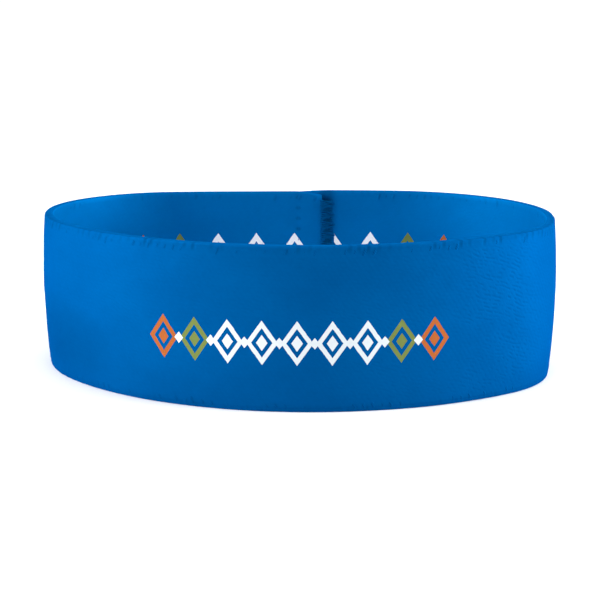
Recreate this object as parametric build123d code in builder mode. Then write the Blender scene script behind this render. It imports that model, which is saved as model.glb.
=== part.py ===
"""Elastic wristband: one woven strip, bent into a loop and sewn where its ends lap.

Millimetres. The loop stands on one woven edge, +Z up, its long way along X and its front at -Y.
The origin is under the middle of the loop, on the surface that it stands on.
"""
import math
import os
from typing import NamedTuple

from build123d import *

# Webbing strip
band_width = 20.0
band_thickness = 1.2
edge_rounding = 0.2

# Slight bow of the wall between its two woven edges
wall_bow_radius = 100.0
wall_bow_height = 11.0

# Plan of the loop, measured on its outer face where the bow is fullest
half_length = 34.0
half_depth = 24.6
front_middle_x = 1.6
back_middle_x = 4.0
left_end_y = 5.1
right_end_y = 1.9

# Flatter stretch of the right end, in front of its furthest point
flat_radius = 36.0
flat_turn = 14.4

# Sewn lap: the inner end stands at the middle of the back, and the outer end passes on behind it
lap_length = 5.0
stitch_press = 0.05

lap_offset = band_thickness - stitch_press
inner_back_y = half_depth - lap_offset
rounding = min(edge_rounding, 0.4 * band_thickness)


class Quarter(NamedTuple):
    """A quarter of the loop, from the middle of its front or back to one end.

    side and face are signs along X and Y. tightening is the share by which its tight bend is
    smaller than a round one. flat_radius and flat_turn give the flatter bend that some quarters
    have between the end and the tight bend, with its turn in degrees.
    """

    side: int
    face: int
    middle_x: float
    middle_y: float
    end_y: float
    tightening: float
    flat_radius: float = 0
    flat_turn: float = 0


left_back = Quarter(-1, 1, back_middle_x, inner_back_y, left_end_y, tightening=0.03)
left_front = Quarter(-1, -1, front_middle_x, -half_depth, left_end_y, tightening=0.205)
right_front = Quarter(
    1, -1, front_middle_x, -half_depth, right_end_y, 0.39, flat_radius, flat_turn
)
right_back = Quarter(1, 1, back_middle_x, half_depth, right_end_y, tightening=0.02)


class Bend(NamedTuple):
    """An arc of the outer face in plan, anticlockwise, with its angles in degrees from +X."""

    centre: tuple
    radius: float
    start: float
    sweep: float


def quarter_bends(row):
    """Give the quarter's tangent bends in anticlockwise order.

    They are worked out in the quarter's own axes: x points to its end, y to its middle, and the
    angles are measured from x.
    """
    reach = abs(row.side * half_length - row.middle_x)
    rise = abs(row.middle_y - row.end_y)
    tight_radius = (1 - row.tightening) * min(reach, rise)
    if reach >= rise:
        flat_x = reach - row.flat_radius
        to_tight = row.flat_radius - tight_radius
        tight_x = flat_x + to_tight * math.cos(math.radians(row.flat_turn))
        tight_y = to_tight * math.sin(math.radians(row.flat_turn))
        drop = rise - tight_y
        wide_radius = (tight_x**2 + drop**2 - tight_radius**2) / (2 * (drop - tight_radius))
        meeting = math.degrees(math.atan2(wide_radius - drop, tight_x))
        arcs = [
            (flat_x, 0, row.flat_radius, 0, row.flat_turn),
            (tight_x, tight_y, tight_radius, row.flat_turn, meeting),
            (0, rise - wide_radius, wide_radius, meeting, 90),
        ]
    else:
        climb = rise - tight_radius
        wide_radius = (reach**2 + climb**2 - tight_radius**2) / (2 * (reach - tight_radius))
        meeting = math.degrees(math.atan2(climb, wide_radius - reach))
        arcs = [
            (reach - wide_radius, 0, wide_radius, 0, meeting),
            (0, climb, tight_radius, meeting, 90),
        ]

    anticlockwise = row.side == row.face
    end_heading = 0 if row.side > 0 else 180
    bends = []
    for x, y, radius, low, high in arcs:
        centre = (row.middle_x + row.side * x, row.end_y + row.face * y)
        start = end_heading + low if anticlockwise else end_heading - high
        if high > low:
            bends.append(Bend(centre, radius, start, high - low))
    return bends if anticlockwise else bends[::-1]


def strip_bends():
    """List the bends of the whole strip, from its inner end round the front to its outer end."""
    bends = []
    for row in (left_back, left_front, right_front, right_back):
        bends.extend(quarter_bends(row))
    inner_run = bends[0]
    lap_radius = inner_run.radius + lap_offset
    lap_turn = math.degrees(lap_length / lap_radius)
    bends.append(Bend(inner_run.centre, lap_radius, inner_run.start, lap_turn))
    return bends


def bowed(radius, height):
    """Give how far out the bowed wall stands at a height, from the centre of its bow."""
    return math.sqrt(radius**2 - (height - wall_bow_height) ** 2)


def strip_section(reach):
    """Draw the strip's cut end, with its outer face at `reach` along X and its width along Y."""
    bow_centre = reach - wall_bow_radius
    heights = (0, band_width / 2, band_width)
    outer = [(bow_centre + bowed(wall_bow_radius, z), z) for z in heights]
    inner = [(bow_centre + bowed(wall_bow_radius - band_thickness, z), z) for z in heights]
    with BuildSketch() as section:
        with BuildLine():
            ThreePointArc(*outer)
            Line(outer[-1], inner[-1])
            ThreePointArc(*reversed(inner))
            Line(inner[0], outer[0])
        make_face()
        fillet(section.vertices(), radius=rounding)
    return section.sketch


os.makedirs("parts", exist_ok=True)

# Elastic band
with BuildPart() as elastic_band:
    for bend in strip_bends():
        heading = math.radians(bend.start)
        outward = (math.cos(heading), math.sin(heading), 0)
        backward = (math.sin(heading), -math.cos(heading), 0)
        bend_centre = (*bend.centre, 0)
        with BuildSketch(Plane(origin=bend_centre, x_dir=outward, z_dir=backward)):
            add(strip_section(bend.radius))
        revolve(axis=Axis(bend_centre, (0, 0, 1)), revolution_arc=bend.sweep)
elastic_band.part.label = "elastic_band"
export_step(elastic_band.part, "parts/elastic_band.step")

strip_length = 0
for bend in strip_bends():
    strip_length += (bend.radius - band_thickness / 2) * math.radians(bend.sweep)
    print(f"bend radius {bend.radius:.1f} mm over {bend.sweep:.1f} degrees")
print(f"strip length before sewing {strip_length:.1f} mm")
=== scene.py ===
import math

import bpy
from bpy.props import FloatProperty, FloatVectorProperty, IntProperty, PointerProperty
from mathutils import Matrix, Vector, noise


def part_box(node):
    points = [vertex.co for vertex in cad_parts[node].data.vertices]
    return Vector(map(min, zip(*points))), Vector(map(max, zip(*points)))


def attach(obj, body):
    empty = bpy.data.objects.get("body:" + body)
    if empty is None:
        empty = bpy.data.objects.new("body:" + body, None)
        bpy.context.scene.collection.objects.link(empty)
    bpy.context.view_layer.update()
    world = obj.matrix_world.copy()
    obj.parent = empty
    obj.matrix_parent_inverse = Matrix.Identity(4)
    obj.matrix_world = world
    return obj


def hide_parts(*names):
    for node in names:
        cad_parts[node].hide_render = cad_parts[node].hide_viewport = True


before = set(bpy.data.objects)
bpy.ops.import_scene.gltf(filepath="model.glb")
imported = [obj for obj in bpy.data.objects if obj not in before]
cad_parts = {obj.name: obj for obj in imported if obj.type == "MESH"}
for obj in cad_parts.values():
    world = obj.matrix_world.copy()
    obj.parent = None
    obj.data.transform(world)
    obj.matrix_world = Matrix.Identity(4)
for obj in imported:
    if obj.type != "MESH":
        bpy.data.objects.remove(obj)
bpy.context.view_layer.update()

bl_info = {
    "name": "Elastic Wristband",
    "version": (1, 0, 0),
    "blender": (4, 5, 0),
    "location": "View3D > Sidebar > Wristband",
    "description": "Dresses a woven elastic wristband with its weave, edge loops, seam and print",
    "category": "Add Mesh",
}

MM = 0.001

# Box of the band, before anything is added
BAND_LOW, BAND_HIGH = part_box("elastic_band")

# Colours that the dyes are mixed with, for tone, painted shade and the painted rim highlight
BLACK = (0.0, 0.0, 0.0, 1.0)
# The painted rim highlight's colour, which is also the satin's specular tint
PAINTED_HIGHLIGHT_AND_SHINE_TINT = (0.0, 0.3, 1.0, 1.0)
CLEAR_BLUE = (0.0, 0.45, 1.0, 1.0)

# The fibres' satin shine, which is in the dye's colour
SATIN = {"Specular IOR Level": 0.0, "Specular Tint": PAINTED_HIGHLIGHT_AND_SHINE_TINT}
GLOSS = 0.2

# Depth in the wall, from its middle, where the inner face's dye begins, in millimetres
INNER_FACE = 0.45

# The knit of the faces, in millimetres
LOOP_LENGTH = 0.66
LOOP_ROW = 0.5
FURROW_LENGTH = 0.75
FURROW_SLANT = 0.32
FURROW_STRAY = 1.2

# How dark the painted shade is in the gaps at the rim, at the needle holes, at the sewn row's dimples
# and in the low patch at the left end of the front
PAINTED_GAP_SHADE = 0.23
PAINTED_HOLE_SHADE = 0.35
PAINTED_DIMPLE_SHADE = 0.25
PAINTED_LOW_LEFT_SHADE = 0.2

# Where the darker thread colour and painted shade of the stitches' valley begin and fade again, from
# the cut end, in millimetres
VALLEY_START = (-0.9, 0.5)
VALLEY_END = (0.9, 2.6)

# Half the height and half the length of a needle hole's painted shade and of a sewn dimple's painted
# shade, in millimetres
HOLE_SIZE = (0.46, 0.75)
DOT_SIZE = (0.33, 0.5)

# Where the ink stops at a cut end, in millimetres past it
INK_STOP = (-0.3, 1.8)

# Where the inner side's painted rim highlight begins and ends, from the middle of the front, in
# millimetres
RIM_HIGHLIGHT_START = (5.0, 28.0)
RIM_HIGHLIGHT_END = (44.0, 52.0)

# How far the tones of the webbing and of the yarn go towards black and towards clear blue, for random
# tone and painted shade in the furrows and the ply
WEBBING_DEEP = 0.16
YARN_DEEP = 0.2
BRIGHT = 0.05

# How fine the uneven patches, furrows and fibres are along, through and up the strip, per metre
PATCH_GRAIN = (80.0, 1.0, 150.0)
FURROW_GRAIN = (260.0, 1.0, 340.0)
WEBBING_FIBRES = (1500.0, 1500.0, 9000.0)
YARN_FIBRES = (5000.0, 2500.0, 2500.0)
FINE_GRAIN = 1400.0

# Depths of the bumps and length of the yarn's ply, in millimetres
WEBBING_BUMP = 0.035
YARN_BUMP = 0.02
PLY = 0.34

# How much smaller than a round one the tight bend of each quarter of the loop is
LEFT_BACK = 0.03
LEFT_FRONT = 0.205
RIGHT_FRONT = 0.39
RIGHT_BACK = 0.02

# Bends of the left half, from the inner cut end to the middle of the front
LEFT_BENDS = 4

# How deep a stitch goes into the lower layer and into the upper one, in millimetres
STITCH_ROOT = 0.25
BITE_ROOT = 0.2

# How far from its row a dimple is reckoned, in millimetres
DIMPLE_REACH = 1.5

# Depth below an edge where the loops keep their height, in millimetres
STEADY_RIM = 0.9

# A lock stitch from its low end to its high one, as heights and depths in millimetres
LOCK_STITCH = ((-0.34, 0.3), (-0.26, 0.0), (0.0, 0.0), (0.26, 0.0), (0.34, 0.3))

# The printed shapes, as shares of the row's pitch and height
LOZENGE_REACH = 0.46
RING_INSIDE = 0.66
HEART = 0.36
DIAMOND_REACH = 0.14
DIAMOND_RISE = 0.13


def length(name, description, millimetres):
    """Declare a length with its default in millimetres."""
    settings = {"default": millimetres * MM, "unit": "LENGTH", "precision": 5}
    return FloatProperty(name=name, description=description, **settings)


def place(name, description, *millimetres):
    """Declare a place with its default in millimetres."""
    default = [part * MM for part in millimetres]
    settings = {"subtype": "TRANSLATION", "precision": 5}
    return FloatVectorProperty(name=name, description=description, default=default, **settings)


def angle(name, description, degrees):
    """Declare an angle with its default in degrees."""
    default = math.radians(degrees)
    return FloatProperty(name=name, description=description, default=default, subtype="ANGLE")


def number(name, description, value):
    """Declare a plain number, such as a share or a strength."""
    return FloatProperty(name=name, description=description, default=value)


def linear(shown):
    """Turn a display value of 0 to 255 into a linear one."""
    value = shown / 255
    return value / 12.92 if shown <= 10 else ((value + 0.055) / 1.055) ** 2.4


def colour(name, description, *shown):
    """Declare a colour by its display values."""
    default = [linear(value) for value in shown]
    settings = {"subtype": "COLOR", "min": 0, "max": 1}
    return FloatVectorProperty(name=name, description=description, default=default, **settings)


class WristbandStrip(bpy.types.PropertyGroup):
    """The woven strip and the loop that it is bent into."""

    thickness: length("Thickness", "Thickness of the woven strip", 1.2)
    rim_rounding: length("Rim Rounding", "Rounding of the woven edges and the cut ends", 0.2)
    bow_radius: length("Bow Radius", "Radius of the slight bow between the two edges", 100.0)
    bow_height: length("Bow Height", "Height of the fullest point of the bow", 11.0)
    front_middle: length("Front Middle", "Where the front stands furthest forward, along X", 1.6)
    back_middle: length("Back Middle", "Where the back stands furthest out, along X", 4.0)
    left_end: length("Left End", "Where the left end stands furthest out, along Y", 5.1)
    right_end: length("Right End", "Where the right end stands furthest out, along Y", 1.9)
    flat_radius: length("Flat Radius", "Radius of the flatter stretch at the right end", 36.0)
    flat_turn: angle("Flat Turn", "How far the flatter stretch turns", 14.4)
    lap: length("Lap", "Length over which the two ends lie on each other", 5.0)
    press: length("Press", "How far the stitches press one layer into the other", 0.05)
    trim: length("Trim", "How much the inner end is trimmed", 0.4)
    inner_neck: length("Inner Neck", "How much each edge draws in at the inner end", 0.55)
    inner_neck_run: length("Inner Neck Run", "Length over which the inner end draws in", 4.0)
    outer_neck: length("Outer Neck", "How much each edge draws in at the outer end", 0.32)
    outer_neck_run: length("Outer Neck Run", "Length over which the outer end draws in", 6.0)
    crush: length("Crush", "How far the stitches crush the webbing at a cut end", 0.45)
    crush_run: length("Crush Run", "Length over which a cut end is crushed", 1.6)
    ripple: length("Ripple", "Unevenness of the woven faces", 0.05)
    column: length("Column", "Width of one column of the strip's mesh", 0.38)
    rows: IntProperty(name="Rows", description="Rows of mesh across the strip", default=48, min=8)
    outer_dye: colour("Outer Dye", "Colour of the outer face", 0, 73, 136)
    # The inner face's dye is the blue made lighter, painted light against the shade inside the loop
    inner_dye_with_painted_light: colour("Inner Dye", "Colour of the inner face", 0, 103, 173)
    knit_middle: length("Knit Middle", "Where the knit shows most, from the front's centre", 25.8)
    # The low patch at the left end of the front is painted shade: the dye is darkened there for less
    # light
    shade_patch_middle: length("Dull Middle", "Middle of the dull patch, from the front's centre", -37.0)
    shade_patch_length: length("Dull Length", "Half the length of the dull patch", 13.0)
    shade_patch_level: length("Dull Level", "Height of the dull patch's middle", 5.5)
    shade_patch_height: length("Dull Height", "Half the height of the dull patch", 6.0)


class WristbandEdges(bpy.types.PropertyGroup):
    """The weft loops that turn round both woven edges."""

    pitch: length("Pitch", "Distance from one edge loop to the next", 1.15)
    reach: length("Reach", "How far a loop runs down each face", 1.35)
    lean: length("Lean", "How far a loop leans along the edge", 0.7)
    yarn: length("Yarn", "Half the width of the weft yarn", 0.42)
    proud: length("Proud", "How far the yarn stands out of the face", 0.03)
    wander: length("Wander", "How far a loop strays from its place", 0.34)
    over: length("Over", "How far the yarn stands over the edge", 0.02)
    start: length("Start", "From the inner cut end to the first loop", 0.6)


class WristbandSeam(bpy.types.PropertyGroup):
    """The stitching at the two cut ends."""

    width: length("Width", "Width of the close zigzag beside a cut end", 1.7)
    wide: length("Wide", "Width of the open zigzag over it", 2.0)
    bite: length("Bite", "How far the zigzag reaches onto the upper layer", 0.3)
    close_pitch: length("Close Pitch", "Distance between the stitches of the close zigzag", 0.312)
    pitch: length("Pitch", "Distance between the stitches of the open zigzag", 1.55)
    top_margin: length("Top Margin", "From the top edge to the first stitch", 1.2)
    low_margin: length("Low Margin", "Least distance from the last stitch to the low edge", 0.6)
    back_row: length("Back Row", "From a cut end to the row where the other end is sewn", 3.45)
    row_rise: length("Row Rise", "How far that row's stitches stand above the zigzag's", 0.4)
    dimple: length("Dimple", "How deep the needle presses the webbing in", 0.14)
    dimple_radius: length("Dimple Radius", "Radius of a dimple", 0.4)
    thread: length("Thread", "Radius of the thread", 0.085)
    # The seam's dye is partly a darker thread and partly painted shade in the stitches' valley
    dye: colour("Dye", "Colour of the thread and of the webbing under it", 0, 84, 142)
    holes: length("Holes", "From a cut end to the open zigzag's needle holes", 0.8)


class WristbandPrint(bpy.types.PropertyGroup):
    """The printed row of lozenges."""

    pitch: length("Pitch", "Distance from one lozenge to the next", 4.1)
    height: length("Height", "Height of a lozenge on the outer face", 5.4)
    level: length("Level", "Height of the row's middle on the outer face", 8.5)
    inner_level: length("Inner Level", "Height of the row's middle on the inner face", 10.3)
    inner_middle: length("Inner Middle", "Middle of the inner row, from the cut end", 4.0)
    inner_scale: number("Inner Scale", "Size of the inner row against the outer", 1.36)
    count: IntProperty(name="Count", description="Lozenges in the row", default=9, min=1)
    white: colour("White", "Colour of the middle lozenges", 214, 222, 226)
    olive: colour("Olive", "Colour of the lozenges beside the last", 114, 127, 68)
    orange: colour("Orange", "Colour of the last lozenges", 172, 95, 48)


class WristbandStudio(bpy.types.PropertyGroup):
    """The floor, the lights and the camera."""

    lens: number("Lens", "Focal length of the camera in millimetres", 92.11)
    camera_place: place("Camera Place", "Where the camera stands", 0, -199.09, 50.306)
    camera_aim: place("Camera Aim", "What the camera is aimed at", 0.363, -0.575, 8.705)
    floor_size: length("Floor", "Side of the floor", 12000.0)
    sky: number("Sky", "Strength of the even white surroundings", 0.1)
    overhead: number("Overhead", "Strength of the wide light above", 3.3)
    overhead_spread: angle("Overhead Spread", "Width of the light above as seen from the band", 90.0)
    left_power: number("Left Power", "Power of the left light in watts", 3.3)
    left_size: length("Left Size", "Side of the left light", 250.0)
    left_place: place("Left Place", "Where the left light hangs", -485.0, -85.5, 97.0)
    right_power: number("Right Power", "Power of the right light in watts", 2.8)
    right_size: length("Right Size", "Side of the right light", 100.0)
    right_place: place("Right Place", "Where the right light hangs", 499.0, 0.0, 36.0)
    high_power: number("High Power", "Power of the high right light in watts", 1.0)
    high_size: length("High Size", "Side of the high right light", 250.0)
    high_place: place("High Place", "Where the high right light hangs", 377.0, -66.5, 331.0)


class Wire:
    """A socket of a material, joined by Python's operators through Math nodes."""

    def __init__(self, finish, socket):
        self.finish = finish
        self.socket = socket

    def math(self, operation, first, second=0.0):
        settings = {"operation": operation}
        return self.finish.node("ShaderNodeMath", settings, {0: first, 1: second})

    def __add__(self, other):
        return self.math("ADD", self, other)

    def __radd__(self, other):
        return self.math("ADD", other, self)

    def __sub__(self, other):
        return self.math("SUBTRACT", self, other)

    def __rsub__(self, other):
        return self.math("SUBTRACT", other, self)

    def __mul__(self, other):
        return self.math("MULTIPLY", self, other)

    def __rmul__(self, other):
        return self.math("MULTIPLY", other, self)

    def __truediv__(self, other):
        return self.math("DIVIDE", self, other)

    def __rtruediv__(self, other):
        return self.math("DIVIDE", other, self)

    def __pow__(self, other):
        return self.math("POWER", self, other)

    def __mod__(self, other):
        return self.math("FLOORED_MODULO", self, other)

    def __lt__(self, other):
        return self.math("LESS_THAN", self, other)

    def __gt__(self, other):
        return self.math("GREATER_THAN", self, other)

    def __abs__(self):
        return self.math("ABSOLUTE", self)

    def floor(self):
        return self.math("FLOOR", self)

    def least(self, other):
        return self.math("MINIMUM", self, other)

    def most(self, other):
        return self.math("MAXIMUM", self, other)

    def ramp(self, low, high):
        """Rise smoothly from 0 at low to 1 at high."""
        settings = {"interpolation_type": "SMOOTHSTEP"}
        inputs = {"Value": self, "From Min": low, "From Max": high}
        return self.finish.node("ShaderNodeMapRange", settings, inputs)


class Finish:
    """A material that is built node by node."""

    def __init__(self, name):
        self.material = bpy.data.materials.new(name)
        self.material.use_nodes = True
        self.tree = self.material.node_tree
        self.tree.nodes.clear()

    def node(self, kind, settings, inputs, output=0):
        """Add a node, set it up, join its sockets and give one of its outputs."""
        made = self.tree.nodes.new(kind)
        for name, value in settings.items():
            setattr(made, name, value)
        for name, value in inputs.items():
            if isinstance(value, Wire):
                self.tree.links.new(value.socket, made.inputs[name])
            else:
                made.inputs[name].default_value = value
        return Wire(self, made.outputs[output]) if len(made.outputs) else None

    def split(self, vector):
        """Give the three numbers of a vector."""
        across = self.node("ShaderNodeSeparateXYZ", {}, {"Vector": vector})
        return [Wire(self, socket) for socket in across.socket.node.outputs]

    def mix(self, share, first, second):
        """Mix two colours."""
        settings = {"data_type": "RGBA"}
        return self.node("ShaderNodeMix", settings, {0: share, 6: first, 7: second}, output=2)

    def cloud(self, place, scale=1.0, detail=2.0):
        """Give a soft noise from 0 to 1."""
        inputs = {"Vector": place, "Scale": scale, "Detail": detail}
        return self.node("ShaderNodeTexNoise", {}, inputs)

    def scaled(self, place, *scales):
        """Scale a place differently along its three directions."""
        return self.node("ShaderNodeVectorMath", {"operation": "MULTIPLY"}, {0: place, 1: scales})

    def chance(self, detail, **numbers):
        """Give a soft noise of one or two numbers, given as the place's X and Y."""
        return self.cloud(self.node("ShaderNodeCombineXYZ", {}, numbers), detail=detail)

    def flat_place(self):
        """Give the place on the flat strip, and its numbers along, through and up in millimetres."""
        place = self.node("ShaderNodeAttribute", {"attribute_name": "flat"}, {}, output=1)
        return place, *[part / MM for part in self.split(place)]

    def darker(self, share, colour):
        """Mix a colour with black."""
        return self.mix(share, colour, BLACK)

    def varied(self, share, deep, colour):
        """Vary a colour from a darker tone at share 0 to a clearer one at share 1."""
        return self.mix(share, self.darker(deep, colour), self.mix(BRIGHT, colour, CLEAR_BLUE))

    def surface(self, inputs, height, depth):
        """End the material in a Principled surface with a bump of the given depth in metres."""
        bump = self.node("ShaderNodeBump", {}, {"Height": height, "Strength": 1.0, "Distance": depth})
        shader = self.node("ShaderNodeBsdfPrincipled", {}, {**inputs, "Normal": bump})
        self.node("ShaderNodeOutputMaterial", {}, {"Surface": shader})
        return self.material


class Surroundings(Finish):
    """The studio's surroundings, built node by node."""

    def __init__(self, world):
        world.use_nodes = True
        self.tree = world.node_tree
        self.tree.nodes.clear()


def opaque(tint, strength=1.0):
    """Give a colour, made deeper or brighter, with its alpha."""
    return (*[min(1.0, share * strength) for share in tint], 1.0)


def deselect_all():
    """Clear the selection, in which the loaded nodes start."""
    bpy.ops.object.select_all(action="DESELECT")


def take(piece):
    """Make a piece the only selected and the active one."""
    deselect_all()
    piece.select_set(True)
    bpy.context.view_layer.objects.active = piece


def apply_modifier(piece, kind, **settings):
    """Add a modifier to a piece and apply it."""
    take(piece)
    bpy.ops.object.modifier_add(type=kind)
    modifier = piece.modifiers[-1]
    for name, value in settings.items():
        setattr(modifier, name, value)
    bpy.ops.object.modifier_apply(modifier=modifier.name)


def repeat(piece, count, step):
    """Copy a piece in a row, each copy with its own mesh."""
    offset = {"use_constant_offset": True, "constant_offset_displace": step}
    apply_modifier(piece, "ARRAY", count=count, use_relative_offset=False, **offset)


def join_pieces(pieces):
    """Join pieces into the first of them."""
    deselect_all()
    for piece in pieces:
        piece.select_set(True)
    bpy.context.view_layer.objects.active = pieces[0]
    bpy.ops.object.join()
    return pieces[0]


def loop_bends(strip):
    """List the outer face's bends in plan, from the inner cut end to the outer one.

    Each is a centre, a radius, a starting angle and a sweep.
    """
    half_length = (BAND_HIGH[0] - BAND_LOW[0]) / 2
    half_depth = (BAND_HIGH[1] - BAND_LOW[1]) / 2
    lap_offset = strip.thickness - strip.press
    front, back = strip.front_middle, strip.back_middle
    left, right = strip.left_end, strip.right_end
    quarters = (
        (-1, 1, back, half_depth - lap_offset, left, LEFT_BACK, 0.0, 0.0),
        (-1, -1, front, -half_depth, left, LEFT_FRONT, 0.0, 0.0),
        (1, -1, front, -half_depth, right, RIGHT_FRONT, strip.flat_radius, strip.flat_turn),
        (1, 1, back, half_depth, right, RIGHT_BACK, 0.0, 0.0),
    )
    bends = []
    for side, face, middle_x, middle_y, end_y, tightening, flat_radius, flat_turn in quarters:
        reach = abs(side * half_length - middle_x)
        rise = abs(middle_y - end_y)
        tight_radius = (1 - tightening) * rise
        flat_x = reach - flat_radius
        tight_x = flat_x + (flat_radius - tight_radius) * math.cos(flat_turn)
        tight_y = (flat_radius - tight_radius) * math.sin(flat_turn)
        drop = rise - tight_y
        wide_radius = (tight_x**2 + drop**2 - tight_radius**2) / (2 * (drop - tight_radius))
        meeting = math.atan2(wide_radius - drop, tight_x)
        arcs = (
            (flat_x, 0.0, flat_radius, 0.0, flat_turn),
            (tight_x, tight_y, tight_radius, flat_turn, meeting),
            (0.0, rise - wide_radius, wide_radius, meeting, math.pi / 2),
        )
        end_heading = 0.0 if side > 0 else math.pi
        for x, y, radius, low, high in arcs if side == face else reversed(arcs):
            centre = (middle_x + side * x, end_y + face * y)
            start = end_heading + low if side == face else end_heading - high
            if high > low:
                bends.append((centre, radius, start, high - low))
    centre, radius, start, _ = bends[0]
    lap_radius = radius + lap_offset
    bends.append((centre, lap_radius, start, strip.lap / lap_radius))
    return bends


def flat_length(strip, bend_count=None):
    """Give the length of the strip's first bends, or of all, along the middle of its thickness."""
    bends = loop_bends(strip)[:bend_count]
    return sum((radius - strip.thickness / 2) * sweep for _, radius, _, sweep in bends)


def band_width():
    """Give the width of the strip, which is the height of the standing band."""
    return BAND_HIGH[2] - BAND_LOW[2]


def add_guide(strip):
    """Draw the line in plan that the middle of the strip's thickness follows."""
    deselect_all()
    bpy.ops.curve.primitive_bezier_curve_add()
    guide = bpy.context.object
    guide.name = "loop_guide"
    guide.data.dimensions = "2D"
    guide.data.resolution_u = 96
    bends = loop_bends(strip)
    knots = guide.data.splines[0].bezier_points
    knots.add(len(bends) + 1 - len(knots))
    for knot in knots:
        knot.handle_left_type = "FREE"
        knot.handle_right_type = "FREE"
    for index, (centre, outer_radius, start, sweep) in enumerate(bends):
        radius = outer_radius - strip.thickness / 2
        handle = 4 / 3 * math.tan(sweep / 4) * radius
        ends = ((knots[index], start, True), (knots[index + 1], start + sweep, False))
        for knot, heading, leaves in ends:
            out = Vector((math.cos(heading), math.sin(heading), 0))
            along = Vector((-math.sin(heading), math.cos(heading), 0))
            knot.co = Vector((*centre, 0)) + radius * out
            if leaves:
                knot.handle_right = knot.co + handle * along
            else:
                knot.handle_left = knot.co - handle * along
    first, last = knots[0], knots[-1]
    first.handle_left = 2 * first.co - first.handle_right
    last.handle_right = 2 * last.co - last.handle_left
    return guide


def draw_in(piece, strip):
    """Narrow the strip towards its two sewn ends, where the stitches pull its edges together."""
    whole = flat_length(strip)
    width = band_width()
    ends = (
        (strip.trim, 1, strip.inner_neck, strip.inner_neck_run),
        (whole, -1, strip.outer_neck, strip.outer_neck_run),
    )
    for vertex in piece.data.vertices:
        x, _, z = vertex.co
        for end, way, depth, run in ends:
            from_end = max(0.0, (x - end) * way)
            vertex.co.z -= depth * max(0.0, 1 - from_end / run) ** 2 * (2 * z / width - 1)


def bend_to_loop(piece, strip):
    """Bow a piece that was made on the flat strip, and bend it round the loop."""
    for vertex in piece.data.vertices:
        vertex.co.y += (vertex.co.z - strip.bow_height) ** 2 / (2 * strip.bow_radius)
    guide = add_guide(strip)
    apply_modifier(piece, "CURVE", object=guide, deform_axis="POS_X")
    line = guide.data
    bpy.data.objects.remove(guide)
    bpy.data.curves.remove(line)


def keep_flat_places(piece):
    """Keep each vertex's place on the flat strip, which the materials follow."""
    flat = piece.data.attributes.new("flat", "FLOAT_VECTOR", "POINT")
    for vertex in piece.data.vertices:
        flat.data[vertex.index].vector = vertex.co


def finish_piece(piece, name, material):
    """Name a piece, give it its material and let it ride on the band's body."""
    piece.name = name
    piece.data.name = name
    piece.data.materials.clear()
    piece.data.materials.append(material)
    take(piece)
    bpy.ops.object.shade_smooth_by_angle(angle=math.radians(50))
    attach(piece, "root")


def add_thread(points, radius):
    """Draw a thread through five points or more on the flat strip and make it a mesh."""
    deselect_all()
    bpy.ops.curve.primitive_nurbs_path_add()
    thread = bpy.context.object
    thread.data.bevel_depth = radius
    thread.data.bevel_resolution = 2
    thread.data.resolution_u = 3
    thread.data.use_fill_caps = True
    spline = thread.data.splines[0]
    spline.points.add(len(points) - len(spline.points))
    for knot, point in zip(spline.points, points):
        knot.co = (*point, 1.0)
    spline.order_u = 3
    spline.use_endpoint_u = True
    bpy.ops.object.convert(target="MESH")
    return bpy.context.object


def front_centre(strip):
    """Give how far along the flat strip the front crosses the loop's middle, in millimetres."""
    return (flat_length(strip, LEFT_BENDS) - strip.front_middle) / MM


def knit_loops(along, up):
    """Give the small loops of the knit, in rows that are set off by half a loop."""
    level = up / LOOP_ROW
    beside = (along / LOOP_LENGTH + (level.floor() % 2.0) * 0.5) % 1.0 - 0.5
    off = level % 1.0 - 0.5 + beside * 0.3
    return (1.0 - (beside / 0.5) ** 2.0 - (off / 0.5) ** 2.0).most(0.0)


def furrows(finish, place, along, up):
    """Give the short slanting furrows of the knit, which break off at random."""
    stray = finish.cloud(finish.scaled(place, *FURROW_GRAIN), detail=1.0)
    slanted = (up + along * FURROW_SLANT + (stray - 0.5) * FURROW_STRAY) / LOOP_ROW
    furrow = 1.0 - (abs(slanted % 1.0 - 0.5) * 2.0).ramp(0.1, 0.85)
    breaks = finish.chance(1.0, X=along / FURROW_LENGTH, Y=slanted.floor() * 7.31)
    return furrow * breaks.ramp(0.42, 0.6)


def past_cut(along, outer, strip):
    """Give how far a place lies past the cut end that shows on its face, in millimetres."""
    whole, lap = flat_length(strip) / MM, strip.lap / MM
    to_outer_end = (along > whole / 2) * (whole - lap)
    past_inner = strip.trim / MM + to_outer_end - along
    past_outer = along - lap - to_outer_end
    return past_inner * (1.0 - outer) + past_outer * outer


def thread_and_valley_shade(past):
    """Give the share of the darker thread colour and painted valley shade at a distance past a cut
    end.
    """
    return past.ramp(*VALLEY_START) * (1.0 - past.ramp(*VALLEY_END))


def stitch_dots(up, past, seam, rise, middle, size):
    """Give soft dots one below another, in step with the open zigzag's stitches."""
    half_height, half_length = size
    pitch = seam.pitch / MM
    level = stitch_levels(seam)[-1] / MM + rise
    turn = ((up - level) / pitch + 0.5) % 1.0 - 0.5
    above = turn * pitch / half_height
    aside = (past - middle) / half_length
    return (1.0 - above**2.0 - aside**2.0).most(0.0)


def needle_hole_shade(up, past, seam):
    """Give the painted shade of the open zigzag's needle holes beside a cut end."""
    return stitch_dots(up, past, seam, 0.0, seam.holes / MM, HOLE_SIZE)


def row_dimple_shade(up, past, seam):
    """Give the row of painted shade dots that stand for the dimples where the other cut end is sewn.
    """
    return stitch_dots(up, past, seam, seam.row_rise / MM, -seam.back_row / MM, DOT_SIZE)


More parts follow.
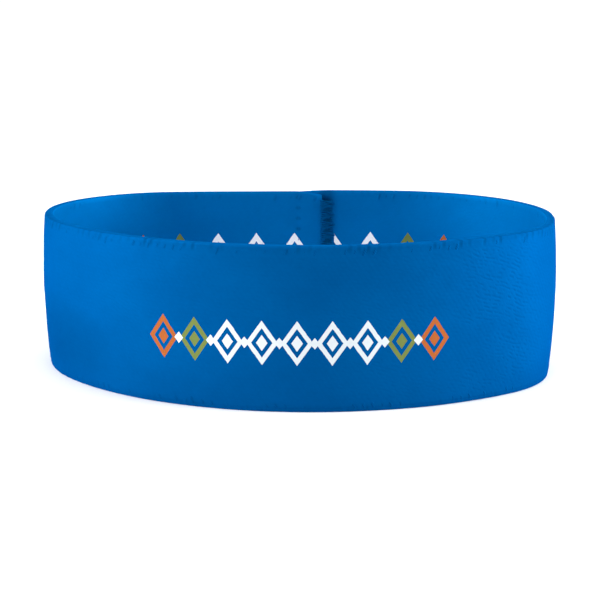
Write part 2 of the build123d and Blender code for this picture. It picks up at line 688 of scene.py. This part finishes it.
def gaps_at_rim(finish, along, depth, up, strip, edges):
    """Give the gaps between the loops that turn round the woven edges, which the bump sinks and the
    colour darkens as painted shade.
    """
    width = band_width() / MM
    from_rim = up.least(width - up)
    first = (strip.trim + edges.start + 0.3 * edges.lean) / MM
    loop = (along - first) / (edges.pitch / MM)
    turn = loop.floor()
    stray = finish.chance(0.0, X=turn * 3.7)
    size = finish.chance(0.0, Y=turn * 5.3)
    runs = finish.chance(1.0, X=along / 14.0)
    off = (loop % 1.0 - 0.5 + (stray - 0.5) * 0.9 + from_rim * 0.15) / 0.27
    fade = 1.0 - (from_rim - size * 0.8).ramp(-0.1, 0.7)
    clearest = 0.3 + 0.7 * (depth < INNER_FACE) * (up > width / 2)
    present = size.ramp(0.3, 0.65) * runs.ramp(0.3, 0.6)
    return (1.0 - off**2.0).most(0.0) * fade * present * clearest


def painted_rim_highlight(finish, dye, along, depth, up, strip):
    """Paint a highlight on the rim, evenly at the middle of the front, and mostly on its inner side
    at the ends.
    """
    from_rim = up.least(band_width() / MM - up)
    from_centre = abs(along - front_centre(strip))
    at_ends = from_centre.ramp(*RIM_HIGHLIGHT_START) * (1.0 - from_centre.ramp(*RIM_HIGHLIGHT_END))
    at_rim = 1.0 - from_rim.ramp(0.0, 0.3)
    share = at_rim * (0.1 + at_ends * (depth.ramp(-0.4, 0.4) * 0.13 - 0.07))
    return finish.mix(share, dye, PAINTED_HIGHLIGHT_AND_SHINE_TINT)


def painted_shade_patch(from_centre, up, strip):
    """Give the painted shade low at the left end of the front."""
    aside = (from_centre - strip.shade_patch_middle / MM) / (strip.shade_patch_length / MM)
    above = (up - strip.shade_patch_level / MM) / (strip.shade_patch_height / MM)
    return (1.0 - aside**2.0 - above**2.0).most(0.0)


def across_wall(depth, strip):
    """Give how near a place on a rim lies to the wall's faces, from 0 in the middle to 1."""
    return (depth / (strip.thickness / MM / 2)) ** 2.0


def row_of_lozenges(offset, above, row):
    """Give the printed row's masks: the ink, the share of olive and the share of orange.

    offset and above are places from the row's middle in millimetres of the outer row.
    """
    pitch, height = row.pitch / MM, row.height / MM
    reach = row.count * pitch / 2
    cell = (offset + reach) / pitch
    inside = abs(cell % 1.0 - 0.5) * pitch
    lift = abs(above)
    lozenge = inside / (pitch * LOZENGE_REACH) + lift / (height / 2)
    ring = (lozenge < 1.0) * (lozenge > RING_INSIDE)
    heart = lozenge < HEART
    diamond = (pitch / 2 - inside) / (pitch * DIAMOND_REACH) + lift / (height * DIAMOND_RISE)
    between = (diamond < 1.0) * (abs(offset) < reach - pitch / 2)
    ink = ((ring + heart) * (abs(offset) < reach)).most(between)
    last = (row.count - 1) / 2
    from_middle = abs(cell.floor() - last)
    orange = (from_middle > last - 0.5) * (1.0 - between)
    olive = (from_middle > last - 1.5) * (from_middle < last - 0.5) * (1.0 - between)
    return ink, olive, orange


def printed_row(along, up, outer, ragged, strip, row):
    """Give the masks of the row on each face. The inner one is larger and nearer the cut end."""
    whole = flat_length(strip) / MM
    from_cut = along - strip.trim / MM - (along > whole / 2) * (whole - strip.lap / MM)
    inner_offset = (from_cut - row.inner_middle / MM) / row.inner_scale
    inner_above = (up - row.inner_level / MM) / row.inner_scale
    offset = (along - front_centre(strip)) * outer + inner_offset * (1.0 - outer)
    above = (up - row.level / MM) * outer + inner_above * (1.0 - outer)
    return row_of_lozenges(offset + ragged, above + ragged, row)


def webbing_material(strip, edges, row, seam):
    """Make the dyed, knitted webbing with the printed row on both faces."""
    finish = Finish("blue_webbing")
    place, along, depth, up = finish.flat_place()
    outer = depth < INNER_FACE
    from_rim = up.least(band_width() / MM - up)
    from_centre = along - front_centre(strip)
    past = past_cut(along, outer, strip)
    fibres = finish.cloud(finish.scaled(place, *WEBBING_FIBRES), detail=3.0)
    fine = finish.cloud(place, FINE_GRAIN)

    # The knit, which shows most at the right end
    on_face = (abs(depth) > strip.thickness / MM * 0.3) * from_rim.ramp(0.7, 1.6)
    patches = finish.cloud(finish.scaled(place, *PATCH_GRAIN), detail=3.0)
    clear = 1.0 - abs(from_centre - strip.knit_middle / MM).ramp(2.0, 7.5)
    relief = on_face * (0.3 + 0.6 * clear) * patches.ramp(0.2, 0.7)
    stitches = 1.0 - furrows(finish, place, along, up) * relief * 0.8
    stitches = stitches * (0.87 + knit_loops(along, up) * 0.13)
    gaps = gaps_at_rim(finish, along, depth, up, strip, edges)

    # The ink, which stops at the stitches of the cut ends
    stitched = (past > INK_STOP[0]) * (past < INK_STOP[1])
    ink, olive, orange = printed_row(along, up, outer, (fine - 0.5) * 0.1, strip, row)
    ink = ink * on_face.ramp(0.2, 0.4) * (1.0 - stitched)
    # The inner print is made 1.6 times lighter, painted light against the shade inside the loop
    white = finish.mix(outer, opaque(row.white, 1.6), opaque(row.white))
    tint = finish.mix(olive, white, opaque(row.olive))
    tint = finish.mix(orange, tint, opaque(row.orange))

    # The dye, with random tone, painted shade and a painted rim highlight
    dye = finish.mix(outer, opaque(strip.inner_dye_with_painted_light), opaque(strip.outer_dye))
    # The tone varies at random, and is darker in the knit's furrows and between its loops as painted
    # shade
    shade = (patches * 0.55 + fine * 0.15 + stitches * 0.3).ramp(0.1, 0.9)
    dye = finish.varied(shade, WEBBING_DEEP, dye)
    # Painted shade: the outer dye is darkened low at the left end of the front
    dye = finish.darker(painted_shade_patch(from_centre, up, strip) * outer * PAINTED_LOW_LEFT_SHADE, dye)
    # Painted highlight along the rim
    dye = painted_rim_highlight(finish, dye, along, depth, up, strip)
    # Darker thread colour and painted shade in the stitches' valley beside a cut end
    dye = finish.mix(thread_and_valley_shade(past), dye, opaque(seam.dye))
    # Painted shade: dark dots at the needle holes and the sewn row's dimples, and in the gaps between
    # the edge loops
    sewn = (needle_hole_shade(up, past, seam) * PAINTED_HOLE_SHADE).most(row_dimple_shade(up, past, seam) * PAINTED_DIMPLE_SHADE)
    dye = finish.darker(sewn.most(gaps * PAINTED_GAP_SHADE), dye)

    # The surface, rounded by its bump where the faces turn into the rim
    rounded = (1.0 - from_rim.ramp(0.0, 0.7)) * 2.5 + across_wall(depth, strip) * 8.0
    height = stitches * (1.0 - ink * 0.4) * 0.85 + fibres * 0.15 - gaps * 1.2 - rounded
    inputs = {
        "Base Color": finish.mix(ink * (0.93 + stitches * 0.07), dye, tint),
        "Roughness": 0.57 - ink * 0.03 + (fibres - 0.5) * 0.12,
        "Metallic": (1.0 - ink) * GLOSS,
        **SATIN,
    }
    return finish.surface(inputs, height, WEBBING_BUMP * MM)


def yarn_surface(finish, flat_place, strip, dye):
    """End a material as a twisted yarn of the given dye."""
    place, along, depth, up = flat_place
    fibres = finish.cloud(finish.scaled(place, *YARN_FIBRES), detail=3.0)
    ply = abs(((along * 1.2 + up + depth) / PLY) % 1.0 * 2.0 - 1.0)
    # The yarn's tone varies with its fibres at random, and is darker in the ply's grooves as painted
    # shade
    inputs = {
        "Base Color": finish.varied(fibres * 0.5 + ply * 0.5, YARN_DEEP, dye),
        "Roughness": 0.55 + fibres * 0.05,
        "Metallic": GLOSS,
        **SATIN,
    }
    height = ply * 0.7 + fibres * 0.3 - across_wall(depth, strip) * 12.0
    return finish.surface(inputs, height, YARN_BUMP * MM)


def edge_yarn_material(strip, edges, seam):
    """Make the weft yarn of the woven edges, in the dye of the face that it lies on, with the painted
    rim highlight and painted shade in the stitches' valley and in the gaps between the loops.
    """
    finish = Finish("edge_yarn")
    flat_place = finish.flat_place()
    _, along, depth, up = flat_place
    dye = finish.mix(depth.ramp(0.3, 0.55), opaque(strip.outer_dye), opaque(strip.inner_dye_with_painted_light))
    # Painted highlight along the rim
    dye = painted_rim_highlight(finish, dye, along, depth, up, strip)
    # Darker thread colour and painted valley shade beside the cut ends
    dye = finish.mix(thread_and_valley_shade(past_cut(along, depth < 0.3, strip)), dye, opaque(seam.dye))
    # Painted shade in the gaps between the loops
    gaps = gaps_at_rim(finish, along, depth, up, strip, edges)
    return yarn_surface(finish, flat_place, strip, finish.darker(gaps * PAINTED_GAP_SHADE, dye))


def seam_thread_material(strip, seam):
    """Make the seam's thread, darkest in the valley of the stitches, partly by its darker colour and
    partly by painted shade.
    """
    finish = Finish("seam_thread")
    flat_place = finish.flat_place()
    _, along, _, up = flat_place
    outer = along > flat_length(strip) / MM / 2
    past = past_cut(along, outer, strip)
    dye = finish.mix(outer, opaque(strip.inner_dye_with_painted_light), opaque(strip.outer_dye))
    dye = finish.mix(thread_and_valley_shade(past), dye, opaque(seam.dye))
    # Painted shade at the needle holes
    dye = finish.darker(needle_hole_shade(up, past, seam) * PAINTED_HOLE_SHADE, dye)
    return yarn_surface(finish, flat_place, strip, dye)


def lay_out_bake_map(band, strip):
    """Unroll the strip into a square map, its halves one above the other, its cut ends beside."""
    mesh = band.data
    width, thickness, rounding = band_width(), strip.thickness, strip.rim_rounding
    face, rim = width - 2 * rounding, thickness + 2 * rounding
    start = strip.trim
    half = (flat_length(strip) - start) / 2
    gap = 0.8 * MM
    side = max(half + 2 * thickness + 4 * gap, 4 * (face + rim) + 3 * gap)
    chart = mesh.uv_layers.new(name="OFBake")
    for polygon in mesh.polygons:
        middle = polygon.center
        second = middle.x > start + half
        for index in polygon.loop_indices:
            x, y, z = mesh.vertices[mesh.loops[index].vertex_index].co
            if abs(polygon.normal.x) > 0.8:
                across = half + 2 * gap + second * (thickness + gap) + y + thickness / 2
                chart.data[index].uv = ((across + gap / 2) / side, (z + gap) / side)
                continue
            if middle.z > width - rounding:
                over = z - width + rounding + thickness / 2
                climbed = face + (over + y if y < 0 else rim - over + y)
            elif middle.z < rounding:
                over = rounding - z + thickness / 2
                climbed = 2 * face + rim + (over - y if y > 0 else rim - over - y)
            elif middle.y < 0:
                climbed = z - rounding
            else:
                climbed = face + rim + width - rounding - z
            across = x - start - second * half
            row = second * (2 * (face + rim) + gap)
            chart.data[index].uv = ((across + gap) / side, (climbed + row + gap) / side)


def stitch_levels(seam):
    """List the heights of the open zigzag's stitches, from the top edge down."""
    top = band_width() - seam.top_margin
    count = int((top - seam.low_margin) / seam.pitch) + 1
    return [top - index * seam.pitch for index in range(count)]


def swell(x, z):
    """Give the unevenness of the woven faces at a place on the flat strip."""
    coarse = noise.noise(Vector((x * 140, 0, z * 220)))
    fine = noise.noise(Vector((x * 420, 9, z * 500)))
    return coarse + 0.5 * fine


def press_webbing(band, strip, seam):
    """Ripple the woven faces, crush the cut ends and dimple the rows where they are sewn."""
    whole = flat_length(strip)
    cut_ends = ((strip.trim, 1, 1), (whole, -1, -1))
    rows = ((strip.trim + seam.back_row, -1), (whole - seam.back_row, 1))
    levels = [level + seam.row_rise for level in stitch_levels(seam)]
    for vertex in band.data.vertices:
        x, y, z = vertex.co
        vertex.co.y += strip.ripple * swell(x, z)
        for end, way, face in cut_ends:
            from_end = (x - end) * way
            if from_end < strip.crush_run and y * face > 0:
                nearness = 1 - max(0.0, from_end) / strip.crush_run
                vertex.co.y -= face * strip.crush * nearness**2
        for row_x, way in rows:
            if abs(x - row_x) < DIMPLE_REACH * MM and y * way < 0:
                off = min((z - level) ** 2 for level in levels) + (x - row_x) ** 2
                vertex.co.y += way * seam.dimple * math.exp(-off / seam.dimple_radius**2)


def loop_points(strip, edges):
    """List the first loop's points, up the outer face, over the top edge and down the inner one."""
    width, lean = band_width(), edges.lean
    face = strip.thickness / 2 + edges.proud - edges.yarn
    top = width + edges.over - edges.yarn
    shoulder = top - 0.3 * MM
    foot = width - edges.reach
    ankle = foot + 0.25 * MM
    return (
        (0, 0.2 * face, foot),
        (0.1 * lean, -face, ankle),
        (0.35 * lean, -face, shoulder),
        (0.42 * lean, -face, top),
        (0.58 * lean, face, top),
        (0.65 * lean, face, shoulder),
        (0.9 * lean, face, ankle),
        (lean, -0.2 * face, foot),
    )


def stray_loops(row, each, seed, edges):
    """Move each loop of a row a little from its place. each is its number of vertices."""
    half = band_width() / 2
    for vertex in row.data.vertices:
        turn = vertex.index // each
        spots = [Vector((turn * 0.71, seed, axis)) for axis in range(3)]
        along, through, up = [noise.noise(spot) for spot in spots]
        vertex.co.x += edges.wander * along
        vertex.co.y += 0.25 * edges.wander * through
        if abs(vertex.co.z - half) < half - STEADY_RIM * MM:
            vertex.co.z += edges.wander * up


def zigzag_leg(strip, seam, reach, over):
    """List the points of a zigzag's leg, from its bite in the upper layer down to the lower one.

    Each is a distance out from the cut end, a height over the lower layer and a share of the pitch.
    """
    step = strip.thickness - strip.press
    bitten = step - strip.crush * (1 - seam.bite / strip.crush_run) ** 2
    brink = step - strip.crush
    return (
        (-seam.bite, bitten - BITE_ROOT * MM, 0.0),
        (-seam.bite, bitten + over, 0.02),
        (0.0, brink + over, 0.1),
        (0.3 * reach, 0.5 * brink + over, 0.2),
        (0.65 * reach, 0.15 * brink + over, 0.34),
        (0.95 * reach, 0.05 * MM + over, 0.47),
        (reach, -STITCH_ROOT * MM, 0.5),
    )


class WRISTBAND_OT_band(bpy.types.Operator):
    """Weave the strip and bend it into the sewn loop"""

    bl_idname = "wristband.band"
    bl_label = "Woven Band"
    bl_options = {"REGISTER", "UNDO"}

    def execute(self, context):
        strip = context.scene.wristband_strip
        edges = context.scene.wristband_edges
        seam = context.scene.wristband_seam
        row = context.scene.wristband_print
        whole = flat_length(strip)
        cut = whole - strip.trim
        width = band_width()
        columns = round(cut / strip.column)
        deselect_all()
        bpy.ops.mesh.primitive_grid_add(x_subdivisions=columns, y_subdivisions=strip.rows, size=1)
        band = context.object
        bpy.ops.object.mode_set(mode="EDIT")
        bpy.ops.mesh.select_all(action="SELECT")
        bpy.ops.transform.resize(value=(cut, width, 1))
        bpy.ops.object.mode_set(mode="OBJECT")
        band.rotation_euler.x = math.pi / 2
        band.location = (strip.trim + cut / 2, -strip.thickness / 2, width / 2)
        bpy.ops.object.transform_apply(location=True, rotation=True, scale=True)
        apply_modifier(band, "SOLIDIFY", thickness=strip.thickness, offset=-1.0)
        rounding = {"width": strip.rim_rounding, "segments": 3, "limit_method": "ANGLE"}
        apply_modifier(band, "BEVEL", angle_limit=math.radians(60), **rounding)
        keep_flat_places(band)
        lay_out_bake_map(band, strip)
        press_webbing(band, strip, seam)
        draw_in(band, strip)
        bend_to_loop(band, strip)
        finish_piece(band, "woven_band", webbing_material(strip, edges, row, seam))
        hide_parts("elastic_band")
        return {"FINISHED"}


class WRISTBAND_OT_edges(bpy.types.Operator):
    """Turn the weft yarn round both woven edges"""

    bl_idname = "wristband.edges"
    bl_label = "Edge Loops"
    bl_options = {"REGISTER", "UNDO"}

    def execute(self, context):
        strip = context.scene.wristband_strip
        edges = context.scene.wristband_edges
        seam = context.scene.wristband_seam
        width = band_width()
        start = strip.trim + edges.start
        count = int((flat_length(strip) - start) / edges.pitch)
        points = loop_points(strip, edges)
        material = edge_yarn_material(strip, edges, seam)
        for name, low, seed in (("top_edge_loops", False, 1.0), ("bottom_edge_loops", True, 7.0)):
            turned = [(start + x, y, width - z if low else z) for x, y, z in points]
            loop = add_thread(turned, edges.yarn)
            each = len(loop.data.vertices)
            repeat(loop, count, (edges.pitch, 0, 0))
            stray_loops(loop, each, seed, edges)
            keep_flat_places(loop)
            draw_in(loop, strip)
            bend_to_loop(loop, strip)
            finish_piece(loop, name, material)
        return {"FINISHED"}


class WRISTBAND_OT_seam(bpy.types.Operator):
    """Sew both cut ends down with zigzag thread"""

    bl_idname = "wristband.seam"
    bl_label = "Seam Stitching"
    bl_options = {"REGISTER", "UNDO"}

    def execute(self, context):
        strip = context.scene.wristband_strip
        seam = context.scene.wristband_seam
        whole = flat_length(strip)
        step = strip.thickness - strip.press
        levels = stitch_levels(seam)
        lowest = levels[-1]
        close_count = int((levels[0] - lowest) / seam.close_pitch) + 1
        zigzags = (
            (seam.width, seam.close_pitch, close_count, -0.4 * seam.thread, 1.0 * seam.thread),
            (seam.wide, seam.pitch, len(levels), -0.35 * seam.thread, 1.1 * seam.thread),
        )
        material = seam_thread_material(strip, seam)
        ends = (("inner_end_stitching", strip.trim, -1, 1), ("outer_end_stitching", whole, 1, -1))
        for name, edge, out, face in ends:
            threads = []
            for reach, pitch, count, over, radius in zigzags:
                for turn in (1, -1):
                    points = []
                    for beyond, height, share in zigzag_leg(strip, seam, reach, over):
                        through = face * (strip.thickness / 2 - step + height)
                        points.append((edge + out * beyond, through, lowest + turn * share * pitch))
                    thread = add_thread(points, radius)
                    repeat(thread, count - (turn > 0), (0, 0, pitch))
                    threads.append(thread)
            sunk = face * (strip.thickness / 2 - seam.dimple + 0.3 * seam.thread)
            row = edge - out * seam.back_row
            middle = lowest + seam.row_rise
            points = [(row, sunk - face * deep * MM, middle + up * MM) for up, deep in LOCK_STITCH]
            lock = add_thread(points, 0.5 * seam.thread)
            repeat(lock, len(levels), (0, 0, seam.pitch))
            stitching = join_pieces([*threads, lock])
            keep_flat_places(stitching)
            bend_to_loop(stitching, strip)
            finish_piece(stitching, name, material)
        return {"FINISHED"}


def add_light(kind, name, place, power, spread):
    """Hang a soft light that faces the band. spread is its width, as an angle for a sun."""
    deselect_all()
    bpy.ops.object.light_add(type=kind, location=place)
    light = bpy.context.object
    light.name = name
    light.data.energy = power
    if kind == "SUN":
        light.data.angle = spread
    else:
        light.data.size = spread
    middle = Vector((0, 0, band_width() / 2))
    light.rotation_euler = (middle - Vector(place)).to_track_quat("-Z", "Y").to_euler()


class WRISTBAND_OT_stage(bpy.types.Operator):
    """Lay the floor, hang the lights and set the camera"""

    bl_idname = "wristband.stage"
    bl_label = "Studio"
    bl_options = {"REGISTER", "UNDO"}

    def execute(self, context):
        scene = context.scene
        studio = scene.wristband_studio
        deselect_all()
        bpy.ops.mesh.primitive_plane_add(size=studio.floor_size)
        floor = context.object
        floor.name = "floor"
        paint = Finish("pale_floor")
        grain = paint.cloud(paint.node("ShaderNodeTexCoord", {}, {}, output=3), 30.0)
        inputs = {
            "Base Color": (0.98, 0.98, 0.98, 1.0),
            "Roughness": 0.9 + grain * 0.05,
            "Specular IOR Level": 0.1,
        }
        floor.data.materials.append(paint.surface(inputs, grain, 0.01 * MM))

        scene.world = bpy.data.worlds.new("studio")
        surroundings = Surroundings(scene.world)
        seen = surroundings.node("ShaderNodeLightPath", {}, {})
        white = {"Color": (1.0, 1.0, 1.0, 1.0), "Strength": seen * (1.0 - studio.sky) + studio.sky}
        background = surroundings.node("ShaderNodeBackground", {}, white)
        surroundings.node("ShaderNodeOutputWorld", {}, {"Surface": background})

        add_light("SUN", "overhead_light", (0, 0, 1), studio.overhead, studio.overhead_spread)
        lights = (
            ("left_light", studio.left_place, studio.left_power, studio.left_size),
            ("right_light", studio.right_place, studio.right_power, studio.right_size),
            ("high_light", studio.high_place, studio.high_power, studio.high_size),
        )
        for name, place, power, size in lights:
            add_light("AREA", name, place, power, size)

        bpy.ops.object.camera_add(location=studio.camera_place)
        camera = context.object
        camera.name = "camera"
        camera.data.lens = studio.lens
        camera.data.sensor_width = 36.0
        camera.data.clip_start = 0.01
        line = Vector(studio.camera_aim) - Vector(studio.camera_place)
        camera.rotation_euler = line.to_track_quat("-Z", "Y").to_euler()
        scene.camera = camera
        scene.view_settings.view_transform = "Standard"
        return {"FINISHED"}


class WRISTBAND_PT_panel(bpy.types.Panel):
    """List the wristband's pieces and sizes"""

    bl_idname = "WRISTBAND_PT_panel"
    bl_label = "Elastic Wristband"
    bl_space_type = "VIEW_3D"
    bl_region_type = "UI"
    bl_category = "Wristband"

    def draw(self, context):
        layout = self.layout
        for step in STEPS:
            layout.operator(step.bl_idname)
        for name, group in GROUPS.items():
            box = layout.box()
            for entry in group.__annotations__:
                box.prop(getattr(context.scene, name), entry)


GROUPS = {
    "wristband_strip": WristbandStrip,
    "wristband_edges": WristbandEdges,
    "wristband_seam": WristbandSeam,
    "wristband_print": WristbandPrint,
    "wristband_studio": WristbandStudio,
}
STEPS = (WRISTBAND_OT_band, WRISTBAND_OT_edges, WRISTBAND_OT_seam, WRISTBAND_OT_stage)


def register():
    """Register the sizes, the steps and the panel."""
    for name, group in GROUPS.items():
        bpy.utils.register_class(group)
        setattr(bpy.types.Scene, name, PointerProperty(type=group))
    for step in STEPS:
        bpy.utils.register_class(step)
    bpy.utils.register_class(WRISTBAND_PT_panel)


def unregister():
    """Remove what register added."""
    bpy.utils.unregister_class(WRISTBAND_PT_panel)
    for step in reversed(STEPS):
        bpy.utils.unregister_class(step)
    for name, group in reversed(GROUPS.items()):
        delattr(bpy.types.Scene, name)
        bpy.utils.unregister_class(group)


def main():
    """Make every piece in order."""
    register()
    bpy.ops.wristband.band()
    bpy.ops.wristband.edges()
    bpy.ops.wristband.seam()
    bpy.ops.wristband.stage()


if __name__ == "__main__":
    main()
